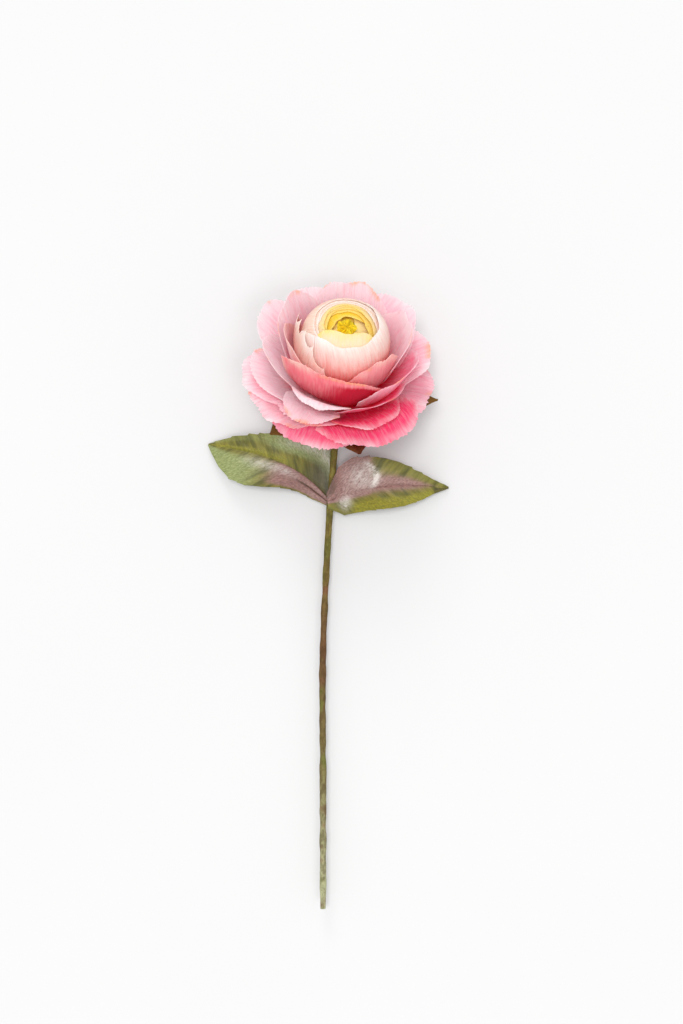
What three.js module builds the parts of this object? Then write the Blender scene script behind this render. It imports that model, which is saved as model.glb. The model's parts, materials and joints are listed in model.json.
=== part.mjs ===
// Paper ranunculus: a wired, tape-wrapped stem with two toothed leaves and a nodding flower of cupped
// crepe petals, lying on its back as it comes to rest on a table.
//
// Millimetres and degrees. The flower is drawn growing: the foot of the stem at the origin, +Z up the
// stem, the face of the flower nodding towards -Y. The head has a frame of its own, with Z along the
// axis of the flower, X to its right and Y to its back. At the end the whole flower is laid down.

import * as THREE from "three";
import { ConvexHull } from "three/addons/math/ConvexHull.js";

// Paper, and the clearance left for glue between neighbours
const PAPER = 0.35;
const GLUE_GAP = 0.3;
const LAYER = PAPER + GLUE_GAP;

// Stem: a wire wrapped in paper tape, thicker where the leaves are taped in
const WIRE_RADIUS = 0.7;
const STEM_RADIUS = 1.4;
const STEM_FOOT_RADIUS = 1.15;
const STEM_FOOT_TAPER = 12;
const STEM_FOOT_CAP = 1.2;
const TAPE_LUMP = 0.1;
const TAPE_LUMP_WAVES = [5, 13];
const STEM_STRAIGHT = 110;
const STEM_SWAY = 5.2;
const LEAF_JOINT_DROP = 46.5;
const LEAF_JOINT_SWELL = 0.45;
const LEAF_JOINT_SPREAD = 6;

// Head: where its base stands over the foot of the stem, and the way it faces. The nod is the bend of
// the stem behind it, from upright to the axis of the flower.
const HEAD_HEIGHT = 220.5;
const HEAD_RIGHT = 6.8;
const HEAD_FORWARD = 10;
const NOD_ANGLE = 57;
const NOD_TURN = 5;
const NOD_RISE = 20.5;
const NOD_LEAD = 6;
const BUD_RADIUS = 18.3;
const PEG_RADIUS = 3;
const PEG_NECK_RADIUS = 4.1;
const WIRE_DEPTH = 12;

// Bud petals lie on spheres one layer apart, from the tuft outwards
const BUD_PETALS = 14;
const BUD_TURN = 137.5;
const BUD_FIRST_AZIMUTH = 283;
const BUD_SPAN = 64;
const BUD_LAYER = 1.07 * LAYER;
const HEART_OPENING = 3.2;
const BUD_OPENING = 13.4;
const CREAM_BUD_PETALS = [10, 11, 13, 14];

// The heart of the bud leans towards the front of the head
const HEART_LEAN = 2.6;

// Open petals, from the inside out. The azimuth runs from the right over the back of the head, and the
// span is half the petal's angle. Reach and rise place the middle of the rim, in bud radii from the axis
// and above the bottom of the bud. The pitch is where the rim points: 90 up the axis, 0 straight out.
// The cup lifts the sides above the midline and the twist lifts one side, in millimetres. The slant raises
// the rim to one side and the corner rounds its ends, in shares of the petal's length. Belly and crest are
// how long the profile runs out from the base and up to the rim, in shares of its chord.
const OPEN_PETALS = [
  { azimuth: 184, span: 52, reach: 1.06, rise: 1.5, pitch: 96, paper: "cream" },
  { azimuth: 306, span: 42, reach: 1.24, rise: 1.42, pitch: 92, paper: "salmon" },
  { azimuth: 196, span: 50, reach: 1.28, rise: 1.43, pitch: 84, twist: 1.4, paper: "salmon" },
  {
    azimuth: 252, span: 54, reach: 1.58, rise: 1.31, pitch: 82,
    cup: -2, slant: -0.1, corner: 0.16, paper: "salmon",
  },
  { azimuth: 10, span: 44, reach: 1.44, rise: 1.34, pitch: 74 },
  { azimuth: 146, span: 42, reach: 1.47, rise: 1.33, pitch: 76 },
  { azimuth: 247, span: 27, reach: 2.06, rise: 0.66, pitch: -42, twist: -1.4, belly: 0.64, crest: 0.22 },
  { azimuth: 80, span: 44, reach: 1.5, rise: 1.12, pitch: 72 },
  { azimuth: 324, span: 42, reach: 1.84, rise: 1.13, pitch: 66 },
  { azimuth: 122, span: 38, reach: 1.64, rise: 0.92, pitch: 54 },
  { azimuth: 36, span: 42, reach: 1.68, rise: 1.01, pitch: 52 },
  { azimuth: 186, span: 38, reach: 1.76, rise: 0.78, pitch: 52 },
  { azimuth: 302, span: 42, reach: 1.86, rise: 0.57, pitch: 42 },
  { azimuth: 92, span: 42, reach: 1.65, rise: 0.68, pitch: 44 },
  { azimuth: 150, span: 34, reach: 1.92, rise: 0.77, pitch: 40 },
  { azimuth: 236, span: 30, reach: 2.11, rise: 0.06, pitch: -6 },
  { azimuth: 188, span: 36, reach: 2.06, rise: 0.23, pitch: 34 },
  { azimuth: 56, span: 42, reach: 1.7, rise: 0.57, pitch: 34 },
  { azimuth: 112, span: 40, reach: 1.69, rise: 0.3, pitch: 26 },
  { azimuth: 10, span: 36, reach: 1.98, rise: 0.3, pitch: 18 },
  { azimuth: 295, span: 38, reach: 2.12, rise: 0.08, pitch: 16 },
  { azimuth: 87, span: 40, reach: 1.67, rise: 0.11, pitch: 12 },
  { azimuth: 234, span: 36, reach: 2.07, rise: -0.04, pitch: 10 },
  { azimuth: 32, span: 38, reach: 1.82, rise: 0, pitch: 4 },
  { azimuth: 186, span: 34, reach: 2.24, rise: -0.09, pitch: 2 },
  { azimuth: 293, span: 46, reach: 2.41, rise: -0.22, pitch: -6, corner: 0.16 },
  { azimuth: 136, span: 40, reach: 1.77, rise: -0.29, pitch: 2 },
  { azimuth: 208, span: 35, reach: 2.28, rise: -0.27, pitch: -6, corner: 0.2 },
  { azimuth: 344, span: 35, reach: 2.19, rise: -0.3, pitch: -8, corner: 0.2 },
  { azimuth: 245, span: 46, reach: 2.36, rise: -0.34, pitch: -10, corner: 0.16 },
];
const OPEN_STATION = 0.6 * LAYER;
const PETAL_BELLY = 0.5;
const PETAL_CREST = 0.5;
const PETAL_CORNER = 0.3;

// The open cup stands further off the bud at the back of the head than at its front
const CUP_LEAN = 7;
const CUP_LEAN_RUN = 20;

// Sepals fan out under the last petals
const SEPALS = [
  { azimuth: 345, reach: 41.5 },
  { azimuth: 279, reach: 39 },
  { azimuth: 224, reach: 41.5 },
  { azimuth: 140, reach: 37 },
  { azimuth: 60, reach: 37 },
];
const SEPAL_RISE = -5;
const SEPAL_SAG = 1.5;
const SEPAL_DROOP = 0.5;
const SEPAL_HALF_WIDTH = 6.2;
const SEPAL_STATION = 1.6 * LAYER;

// Tuft in the heart
const TUFT_RADIUS = 2.7;
const TUFT_HEIGHT = 5;
const TUFT_PLEATS = 7;
const TUFT_PLEAT_DEPTH = 0.22;

// Leaves: half widths above and below the midrib at even steps from base to tip, in shares of the length.
// The left leaf is taped to the back of the stem and the right leaf to its side.
const LEAF_PAPER = 0.45;
const LEAF_WIRE_RADIUS = 0.5;
const LEAF_TEETH = 10;
const LEAF_TOOTH = 0.9;
const LEAF_WAVE = 0.6;
const LEAVES = [
  {
    side: "left", length: 58, heading: 155, bow: 0.14, fold: 2.4, arch: 5, behind: true,
    upper: [0.09, 0.29, 0.3, 0.26, 0.2, 0.17, 0.13, 0.08, 0.006],
    lower: [0.04, 0.1, 0.13, 0.17, 0.22, 0.25, 0.23, 0.14, 0.006],
  },
  {
    side: "right", length: 51, heading: 6.7, bow: 0.1, fold: 2.2, arch: 4, behind: false,
    upper: [0.07, 0.24, 0.28, 0.26, 0.23, 0.19, 0.13, 0.06, 0.006],
    lower: [0.06, 0.17, 0.185, 0.19, 0.19, 0.175, 0.13, 0.06, 0.006],
  },
];

// Facets along and across each kind of sheet, and round the stem
const OPEN_FACETS = [6, 6];
const BUD_FACETS = [6, 5];
const SEPAL_FACETS = [6, 4];
const LEAF_COLUMNS = 4;
const CORE_FACETS = [9, 14];
const STEM_SIDES = 10;
const WIRE_SIDES = 6;

const COLOURS = {
  heart: 0xf2cc3a, cream: 0xfbeadc, salmon: 0xf7a79b, pink: 0xf48aa4, tuft: 0xd2c51e,
  sepal: 0x7a5a22, leaf: 0x76893f, stem: 0x7d6b3f, wire: 0x9a9a98, core: 0xeed77a,
};

const radians = THREE.MathUtils.degToRad;
const smooth = THREE.MathUtils.smoothstep;
const lerp = THREE.MathUtils.lerp;

const headBase = new THREE.Vector3(HEAD_RIGHT, -HEAD_FORWARD, HEAD_HEIGHT);
const headAxis = new THREE.Vector3().setFromSphericalCoords(1, radians(NOD_ANGLE), 0);
headAxis.applyAxisAngle(new THREE.Vector3(1, 0, 0), Math.PI / 2);
headAxis.applyAxisAngle(new THREE.Vector3(0, 0, 1), radians(NOD_TURN));
const leafJointHeight = HEAD_HEIGHT - LEAF_JOINT_DROP;
const nodStart = HEAD_HEIGHT - NOD_RISE;

// Heights up the axis of the head, from its base
const sepalHeight = SEPAL_STATION;
const budFoot = sepalHeight + (OPEN_PETALS.length + 2) * OPEN_STATION;
const budCentre = budFoot + BUD_RADIUS;
const coreRadius = BUD_RADIUS - BUD_PETALS * BUD_LAYER - 0.5 * PAPER;
const neckHeight = budCentre - Math.sqrt(coreRadius ** 2 - PEG_NECK_RADIUS ** 2);

function pegRadius(height) {
  return THREE.MathUtils.mapLinear(height, 0, neckHeight, PEG_RADIUS, PEG_NECK_RADIUS);
}

function makeMaterial(colour, roughness = 0.9, metalness = 0) {
  return new THREE.MeshStandardMaterial({ color: colour, roughness, metalness });
}

function makeMesh(name, geometry, material) {
  const mesh = new THREE.Mesh(geometry, material);
  mesh.name = name;
  return mesh;
}

function meshFromTriangles(points, triangles) {
  const geometry = new THREE.BufferGeometry();
  geometry.setFromPoints(points);
  geometry.setIndex(triangles);
  geometry.computeVertexNormals();
  return geometry;
}

// Closed sheet of even thickness about surface(u, v), with u from 0 to 1 and v from -1 to 1
function sheetGeometry(surface, [rows, columns], thickness) {
  const middle = [];
  for (let row = 0; row <= rows; row += 1) {
    for (let column = 0; column <= columns; column += 1) {
      middle.push(surface(row / rows, (2 * column) / columns - 1));
    }
  }
  const at = (row, column) => row * (columns + 1) + column;
  const faces = [[], []];
  for (let row = 0; row <= rows; row += 1) {
    for (let column = 0; column <= columns; column += 1) {
      const along = middle[at(Math.min(row + 1, rows), column)].clone();
      along.sub(middle[at(Math.max(row - 1, 0), column)]);
      const across = middle[at(row, Math.min(column + 1, columns))].clone();
      across.sub(middle[at(row, Math.max(column - 1, 0))]);
      const half = along.cross(across).setLength(thickness / 2);
      faces[0].push(middle[at(row, column)].clone().add(half));
      faces[1].push(middle[at(row, column)].clone().sub(half));
    }
  }
  const triangles = [];
  const back = middle.length;
  const quad = (a, b, c, d) => triangles.push(a, b, c, a, c, d);
  for (let row = 0; row < rows; row += 1) {
    for (let column = 0; column < columns; column += 1) {
      const corners = [at(row, column), at(row + 1, column), at(row + 1, column + 1), at(row, column + 1)];
      quad(...corners);
      quad(...corners.reverse().map((corner) => back + corner));
    }
  }
  const rim = [];
  for (let column = 0; column < columns; column += 1) rim.push(at(0, column));
  for (let row = 0; row < rows; row += 1) rim.push(at(row, columns));
  for (let column = columns; column > 0; column -= 1) rim.push(at(rows, column));
  for (let row = rows; row > 0; row -= 1) rim.push(at(row, 0));
  rim.forEach((start, index) => {
    const end = rim[(index + 1) % rim.length];
    quad(start, end, back + end, back + start);
  });
  return meshFromTriangles([...faces[0], ...faces[1]], triangles);
}

// Closed skin over rings of points that run from one end of a form to the other
function skinGeometry(rings) {
  const sides = rings[0].length;
  const points = rings.flat();
  const triangles = [];
  for (let ring = 0; ring + 1 < rings.length; ring += 1) {
    for (let side = 0; side < sides; side += 1) {
      const next = (side + 1) % sides;
      const [a, b] = [ring * sides + side, ring * sides + next];
      triangles.push(a, b, b + sides, a, b + sides, a + sides);
    }
  }
  const last = (rings.length - 1) * sides;
  for (let side = 1; side + 1 < sides; side += 1) {
    triangles.push(0, side + 1, side, last, last + side, last + side + 1);
  }
  return meshFromTriangles(points, triangles);
}

// Ring of points square to a curve at the share of its length
function ringOnCurve(curve, frames, share, radius, sides) {
  const step = Math.round(share * (frames.normals.length - 1));
  const centre = curve.getPointAt(share);
  return Array.from({ length: sides }, (unused, side) => {
    const angle = (2 * Math.PI * side) / sides;
    const spoke = frames.normals[step].clone().multiplyScalar(radius * Math.cos(angle));
    spoke.addScaledVector(frames.binormals[step], radius * Math.sin(angle));
    return centre.clone().add(spoke);
  });
}

// Head

function headRotation() {
  const right = new THREE.Vector3(0, 0, 1).cross(headAxis).normalize();
  const backward = headAxis.clone().cross(right);
  return new THREE.Matrix4().makeBasis(right, backward, headAxis);
}

// Lift of a petal off its ring: sides cupped and twisted, growing from base to rim
function petalLift({ cup = 0, twist = 0 }, u, v) {
  const growth = smooth(u, 0.1, 1);
  return growth * (cup * v * v + twist * v);
}

function roundedRim(v, rounding, power) {
  return 1 - rounding * Math.abs(v) ** power;
}

function onAxis(radius, angle, height) {
  return new THREE.Vector3(radius * Math.cos(angle), radius * Math.sin(angle), height);
}

// How far the bud leans to the front at a height up the axis
function heartLean(height) {
  return HEART_LEAN * smooth((height - budCentre) / BUD_RADIUS, 0.3, 1);
}

function budPetalSurface(index) {
  const radius = BUD_RADIUS - (BUD_PETALS - 1 - index) * BUD_LAYER;
  const share = index / (BUD_PETALS - 1);
  const opening = lerp(HEART_OPENING, BUD_OPENING, share ** 0.8);
  const azimuth = BUD_FIRST_AZIMUTH + index * BUD_TURN;
  const start = Math.asin((PEG_NECK_RADIUS + GLUE_GAP) / radius);
  const end = Math.PI - Math.asin(Math.min(opening / radius, 1));
  const rounding = lerp(0.12, 0.24, smooth(share, 0.2, 0.6));
  return (u, v) => {
    const along = u * roundedRim(v, rounding, 2.4);
    const polar = lerp(start, end, along);
    const span = BUD_SPAN * lerp(0.5, 1, smooth(along, 0, 0.5));
    const angle = radians(azimuth + v * span);
    const point = onAxis(radius * Math.sin(polar), angle, budCentre - radius * Math.cos(polar));
    point.y -= heartLean(point.z);
    return point;
  };
}

// Distance from the axis once the cup has leaned back
function leanBack(ring, angle) {
  return ring + CUP_LEAN * Math.sin(angle) * smooth(ring, BUD_RADIUS, BUD_RADIUS + CUP_LEAN_RUN);
}

function openPetalSurface(petal, index) {
  const height = budFoot - (index + 1) * OPEN_STATION;
  const base = new THREE.Vector2(pegRadius(height) + GLUE_GAP, height);
  const rim = new THREE.Vector2(petal.reach * BUD_RADIUS, budFoot + petal.rise * BUD_RADIUS);
  const chord = rim.distanceTo(base);
  const belly = new THREE.Vector2((petal.belly ?? PETAL_BELLY) * chord, 0).add(base);
  const crest = new THREE.Vector2(-(petal.crest ?? PETAL_CREST) * chord, 0);
  crest.rotateAround(new THREE.Vector2(), radians(petal.pitch)).add(rim);
  const profile = new THREE.CubicBezierCurve(base, belly, crest, rim);
  return (u, v) => {
    const along = u * (roundedRim(v, petal.corner ?? PETAL_CORNER, 2.6) + (petal.slant ?? 0) * v);
    const point = profile.getPoint(along);
    const tangent = profile.getTangent(along);
    const span = petal.span * lerp(0.55, 1, smooth(along, 0, 0.55));
    const lift = petalLift(petal, u, v);
    const angle = radians(petal.azimuth + v * span);
    const ring = leanBack(point.x - tangent.y * lift, angle);
    return onAxis(ring, angle, point.y + tangent.x * lift);
  };
}

function sepalSurface({ azimuth, reach }) {
  const base = new THREE.Vector2(pegRadius(sepalHeight) + GLUE_GAP, sepalHeight);
  const tip = new THREE.Vector2(reach, budFoot + SEPAL_RISE);
  const sag = new THREE.Vector2(0.5 * (base.x + tip.x), Math.min(base.y, tip.y) - SEPAL_SAG);
  const profile = new THREE.QuadraticBezierCurve(base, sag, tip);
  return (u, v) => {
    const point = profile.getPoint(u);
    const taper = 1 - smooth(u, 0.66, 1.04) ** 1.6;
    const halfWidth = SEPAL_HALF_WIDTH * lerp(0.22, 1, smooth(u, 0, 0.5)) * taper;
    const angle = radians(azimuth) + (v * halfWidth) / point.x;
    return onAxis(point.x, angle, point.y - SEPAL_DROOP * v * v);
  };
}

function makeCore() {
  const boreRadius = WIRE_RADIUS + GLUE_GAP;
  const boreEnd = WIRE_DEPTH + GLUE_GAP;
  const profile = [[0, boreEnd], [boreRadius, boreEnd], [boreRadius, 0], [PEG_RADIUS, 0]];
  const start = Math.asin(PEG_NECK_RADIUS / coreRadius);
  const [rows, sides] = CORE_FACETS;
  for (let row = 0; row < rows; row += 1) {
    const polar = lerp(start, Math.PI, row / rows);
    profile.push([coreRadius * Math.sin(polar), budCentre - coreRadius * Math.cos(polar)]);
  }
  profile.push([0, budCentre + coreRadius]);
  const geometry = new THREE.LatheGeometry(profile.map((point) => new THREE.Vector2(...point)), sides);
  geometry.rotateX(Math.PI / 2);
  return makeMesh("bud_core", geometry, makeMaterial(COLOURS.core, 0.8));
}

function makeTuft() {
  const geometry = new THREE.SphereGeometry(1, 2 * TUFT_PLEATS, 7);
  geometry.rotateX(Math.PI / 2);
  const positions = geometry.attributes.position;
  const foot = budCentre + coreRadius + GLUE_GAP;
  for (let index = 0; index < positions.count; index += 1) {
    const point = new THREE.Vector3().fromBufferAttribute(positions, index);
    const pleat = 1 + TUFT_PLEAT_DEPTH * Math.cos(TUFT_PLEATS * Math.atan2(point.y, point.x));
    const dip = point.z > 0.6 ? 0.75 : 1;
    const height = foot + 0.5 * TUFT_HEIGHT * (1 + dip * point.z);
    const reach = TUFT_RADIUS * pleat;
    positions.setXYZ(index, reach * point.x, reach * point.y - heartLean(height), height);
  }
  return makeMesh("centre_tuft", geometry, makeMaterial(COLOURS.tuft));
}

function makeHead() {
  const head = new THREE.Group();
  head.position.copy(headBase);
  head.setRotationFromMatrix(headRotation());
  head.add(makeCore(), makeTuft());
  for (let index = 0; index < BUD_PETALS; index += 1) {
    const geometry = sheetGeometry(budPetalSurface(index), BUD_FACETS, PAPER);
    const paper = CREAM_BUD_PETALS.includes(index + 1) ? "cream" : "heart";
    head.add(makeMesh(`bud_petal_${index + 1}`, geometry, makeMaterial(COLOURS[paper])));
  }
  OPEN_PETALS.forEach((petal, index) => {
    const geometry = sheetGeometry(openPetalSurface(petal, index), OPEN_FACETS, PAPER);
    head.add(makeMesh(`open_petal_${index + 1}`, geometry, makeMaterial(COLOURS[petal.paper ?? "pink"])));
  });
  SEPALS.forEach((sepal, index) => {
    const geometry = sheetGeometry(sepalSurface(sepal), SEPAL_FACETS, PAPER);
    head.add(makeMesh(`sepal_${index + 1}`, geometry, makeMaterial(COLOURS.sepal)));
  });
  return head;
}

// Stem

const stemCurve = new THREE.CatmullRomCurve3([
  new THREE.Vector3(0, 0, 0),
  new THREE.Vector3(0, 0, 0.5 * STEM_STRAIGHT),
  new THREE.Vector3(0, 0, STEM_STRAIGHT),
  new THREE.Vector3(0.6 * STEM_SWAY, 0, leafJointHeight),
  new THREE.Vector3(STEM_SWAY, 0, nodStart),
  headBase.clone().addScaledVector(headAxis, -NOD_LEAD),
  headBase.clone(),
  headBase.clone().addScaledVector(headAxis, WIRE_DEPTH),
]);

// Shares of the stem's length where its rings stand: few up the straight, more round the nod
function stemShares(from, to) {
  const bend = (nodStart - 0.5 * NOD_RISE) / stemCurve.getLength();
  const straight = Array.from({ length: 11 }, (unused, step) => lerp(from, bend, step / 11));
  const nod = Array.from({ length: 15 }, (unused, step) => lerp(bend, to, step / 14));
  return [...straight, ...nod];
}

function tapeRadius(height) {
  const foot = lerp(STEM_FOOT_RADIUS, STEM_RADIUS, smooth(height, 0, STEM_FOOT_TAPER));
  const lump = TAPE_LUMP * Math.sin(height / TAPE_LUMP_WAVES[0]) * Math.sin(height / TAPE_LUMP_WAVES[1]);
  const swell = LEAF_JOINT_SWELL * Math.exp(-(((height - leafJointHeight) / LEAF_JOINT_SPREAD) ** 2));
  return foot + smooth(height, 0, STEM_FOOT_TAPER) * lump + swell;
}

function makeStem() {
  const frames = stemCurve.computeFrenetFrames(1200);
  const length = stemCurve.getLength();
  const top = (length - WIRE_DEPTH - GLUE_GAP) / length;
  const ring = (share, radius, sides) => ringOnCurve(stemCurve, frames, share, radius, sides);
  const foot = [0, 0.35, 0.7].map((part) => (part * STEM_FOOT_TAPER) / length);
  const outer = [...foot, ...stemShares(STEM_FOOT_TAPER / length, top)];
  const bore = stemShares(STEM_FOOT_CAP / length, top).reverse();
  const core = [...stemShares((STEM_FOOT_CAP + GLUE_GAP) / length, top), 1];
  const wrapRings = outer.map((share) => ring(share, tapeRadius(share * length), STEM_SIDES));
  const boreRings = bore.map((share) => ring(share, WIRE_RADIUS + GLUE_GAP, STEM_SIDES));
  const wireRings = core.map((share) => ring(share, WIRE_RADIUS, WIRE_SIDES));
  const stem = new THREE.Group();
  const wrap = skinGeometry([...wrapRings, ...boreRings]);
  stem.add(makeMesh("stem_wrap", wrap, makeMaterial(COLOURS.stem, 0.85)));
  stem.add(makeMesh("stem_wire", skinGeometry(wireRings), makeMaterial(COLOURS.wire, 0.4, 1)));
  return stem;
}

// Leaves

function leafFrame(leaf) {
  const joint = stemCurve.getPointAt(leafJointHeight / stemCurve.getLength());
  const along = new THREE.Vector3(Math.cos(radians(leaf.heading)), 0, Math.sin(radians(leaf.heading)));
  const towards = new THREE.Vector3(0, -1, 0);
  const across = along.clone().cross(towards);
  if (across.z < 0) across.negate();
  return { joint, along, towards, across };
}

// Leaves lie flat where they are taped on and cup further out
function unfurled(share) {
  return smooth(share, 0.1, 0.45);
}

// Midrib point at a share of the leaf: bowed upwards in its plane and arched towards the face
function midribPoint(leaf, share) {
  const { joint, along, towards, across } = leafFrame(leaf);
  const clear = STEM_RADIUS + LEAF_JOINT_SWELL + TAPE_LUMP + GLUE_GAP;
  const start = leaf.behind ? 0 : clear + LEAF_WIRE_RADIUS;
  const back = leaf.behind ? clear + LEAF_PAPER / 2 : 0;
  const rise = 4 * share * (1 - share);
  return joint.clone()
    .addScaledVector(along, start + share * (leaf.length - start))
    .addScaledVector(across, leaf.bow * leaf.length * rise * (1 - 0.5 * share))
    .addScaledVector(towards, leaf.arch * (rise * unfurled(share) - 0.5 * share) - back);
}

function evenSteps(values, share) {
  const place = share * (values.length - 1);
  const step = Math.min(Math.floor(place), values.length - 2);
  return lerp(values[step], values[step + 1], place - step);
}

function leafSurface(leaf) {
  const { towards, across } = leafFrame(leaf);
  const rows = 2 * LEAF_TEETH;
  return (u, v) => {
    const row = Math.round(u * rows);
    const tooth = row % 2 === 1 && row > 2 ? LEAF_TOOTH * Math.abs(v) ** 3 : 0;
    const halfWidth = leaf.length * evenSteps(v > 0 ? leaf.upper : leaf.lower, u) + tooth;
    const wave = LEAF_WAVE * Math.sin(9 * u + 2 * v) * v * v;
    const fold = leaf.fold * unfurled(u) * Math.sin(Math.PI * Math.min(u + 0.1, 1));
    return midribPoint(leaf, u)
      .addScaledVector(across, v * halfWidth)
      .addScaledVector(towards, wave + fold * Math.abs(v));
  };
}

function makeLeaf(leaf) {
  const { towards } = leafFrame(leaf);
  const group = new THREE.Group();
  const blade = sheetGeometry(leafSurface(leaf), [2 * LEAF_TEETH, LEAF_COLUMNS], LEAF_PAPER);
  const drop = -(LEAF_PAPER / 2 + GLUE_GAP + LEAF_WIRE_RADIUS);
  const behind = (share) => midribPoint(leaf, share).addScaledVector(towards, drop);
  const wireCurve = new THREE.CatmullRomCurve3([0, 0.15, 0.3, 0.45, 0.6, 0.75].map(behind));
  const frames = wireCurve.computeFrenetFrames(120);
  const rings = Array.from({ length: 13 }, (unused, step) => (
    ringOnCurve(wireCurve, frames, step / 12, LEAF_WIRE_RADIUS, WIRE_SIDES)));
  group.add(makeMesh(`${leaf.side}_leaf`, blade, makeMaterial(COLOURS.leaf, 0.55)));
  group.add(makeMesh(`${leaf.side}_leaf_wire`, skinGeometry(rings), makeMaterial(COLOURS.wire, 0.4, 1)));
  return group;
}

// Rest: the flower tips onto the face of its hull that lies behind it and carries its centre of mass

function worldTriangles(root) {
  const triangles = [];
  root.updateMatrixWorld(true);
  root.traverse((object) => {
    if (!object.isMesh) return;
    const geometry = object.geometry.index ? object.geometry.toNonIndexed() : object.geometry;
    const positions = geometry.attributes.position;
    for (let corner = 0; corner < positions.count; corner += 3) {
      const point = (offset) => new THREE.Vector3().fromBufferAttribute(positions, corner + offset);
      triangles.push([0, 1, 2].map((offset) => point(offset).applyMatrix4(object.matrixWorld)));
    }
  });
  return triangles;
}

function centreOfMass(triangles) {
  const centre = new THREE.Vector3();
  let volume = 0;
  triangles.forEach(([a, b, c]) => {
    const part = a.dot(b.clone().cross(c));
    centre.addScaledVector(a.clone().add(b).add(c), part);
    volume += part;
  });
  return centre.divideScalar(4 * volume);
}

function restNormal(triangles) {
  const hull = new ConvexHull().setFromPoints(triangles.flat());
  const centre = centreOfMass(triangles);
  const carries = (face) => {
    const corners = [face.edge.tail().point, face.edge.head().point, face.edge.next.head().point];
    const foot = centre.clone().addScaledVector(face.normal, face.constant - face.normal.dot(centre));
    return THREE.Triangle.containsPoint(foot, ...corners);
  };
  const backward = (face) => face.normal.y;
  const resting = hull.faces.filter(carries).sort((one, other) => backward(other) - backward(one));
  return resting[0].normal.clone();
}

function layDown(plant) {
  const triangles = worldTriangles(plant);
  const lying = new THREE.Quaternion().setFromAxisAngle(new THREE.Vector3(1, 0, 0), -Math.PI / 2);
  const underside = restNormal(triangles).applyQuaternion(lying);
  const settling = new THREE.Quaternion().setFromUnitVectors(underside, new THREE.Vector3(0, 0, -1));
  plant.quaternion.copy(settling.multiply(lying));
  const box = new THREE.Box3().setFromPoints(worldTriangles(plant).flat());
  const centre = box.getCenter(new THREE.Vector3());
  plant.position.set(-centre.x, -centre.y, -box.min.z);
}

const plant = new THREE.Group();
plant.add(makeStem(), ...LEAVES.map(makeLeaf), makeHead());
layDown(plant);

const ranunculus = new THREE.Group();
ranunculus.add(plant);

export default ranunculus;
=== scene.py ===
"""Paper ranunculus: the looks of a nodding crepe paper flower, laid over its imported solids.

Sizes are millimetres and degrees in the growing frame, as the flower stands: the foot of the stem at
the origin, +Z up the stem, the face of the flower nodding towards -Y. The head has a frame of its own,
with Z along the axis of the flower, X to its right and Y to its back. Each piece is laid down into the
row frame, in metres, as it is made.
"""

import json
import math
from collections import namedtuple

import bpy
import numpy as np
from mathutils import Matrix, Quaternion, Vector


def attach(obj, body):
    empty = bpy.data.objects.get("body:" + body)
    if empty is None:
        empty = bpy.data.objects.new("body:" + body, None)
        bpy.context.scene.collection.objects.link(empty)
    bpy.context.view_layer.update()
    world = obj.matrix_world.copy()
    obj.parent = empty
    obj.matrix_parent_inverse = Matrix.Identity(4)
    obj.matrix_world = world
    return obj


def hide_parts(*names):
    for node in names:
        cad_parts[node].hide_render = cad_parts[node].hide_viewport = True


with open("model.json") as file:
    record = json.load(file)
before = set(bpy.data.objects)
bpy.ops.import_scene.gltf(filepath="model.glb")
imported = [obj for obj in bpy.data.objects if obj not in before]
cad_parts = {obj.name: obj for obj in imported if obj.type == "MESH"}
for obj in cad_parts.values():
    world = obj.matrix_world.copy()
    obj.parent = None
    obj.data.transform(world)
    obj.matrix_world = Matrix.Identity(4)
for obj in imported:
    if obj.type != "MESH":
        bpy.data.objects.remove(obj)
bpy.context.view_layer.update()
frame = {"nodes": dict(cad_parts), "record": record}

MM = 0.001
TURN = 2 * math.pi

# Paper and the clearance for glue: the sheets of the solids, and the thinner crepe that is seen
PAPER = 0.35
GLUE_GAP = 0.3
LAYER = PAPER + GLUE_GAP
CREPE = 0.2

# How much of the light on its other side passes through the paper of petals, bud, heart and tuft
PAPER_GLOW = 0.58
BUD_GLOW = 0.32
HEART_GLOW = 0.42
TUFT_GLOW = 0.7

# Faces that meet at a wider angle than this keep a sharp edge between them
SHARP_ANGLE = 50

# Steps along each kind of sheet and across it
BUD_GRID = (30, 120)
OPEN_GRID = (36, 110)
SEPAL_GRID = (36, 20)
TUFT_GRID = (24, 240)
LEAF_GRID = (170, 48)

# Steps round each turned form, and between the points that the stem's line runs through
CORE_SIDES = 48
STEM_SIDES = 32
LEAF_WIRE_SIDES = 16
STEM_STEPS = 60

# Seeds of the random waves, to which the index of a piece is added: in the cut of its rim, in the nicks
# along it and in the sheet itself
BUD_CUT_SEED = 40
BUD_NICK_SEED = 140
BUD_WAVE_SEED = 70
OPEN_CUT_SEED = 100
OPEN_NICK_SEED = 500
OPEN_WAVE_SEED = 200
SEPAL_WAVE_SEED = 300
LEAF_STEP_SEED = 400
LEAF_CUT_SEED = 420
STEM_SEED = 600

# The grain of the paper shifts by a step from one piece to the next, numbered from here in each kind
GRAIN_STEP = 7.3
LEAF_GRAIN_STEP = 11.0
OPEN_GRAIN = 20
SEPAL_GRAIN = 60
TUFT_GRAIN = 90

# Stem: straight up from its foot, then swaying to the right, with a bore that clears the wire and starts
# some steps above the foot
WIRE_RADIUS = 0.7
STEM_RADIUS = 1.4
STEM_FOOT_RADIUS = 1.15
STEM_FOOT_TAPER = 12
STEM_STRAIGHT = 110
STEM_SWAY = 5.2
BORE_SLACK = 0.35
BORE_FOOT = 3

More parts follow.
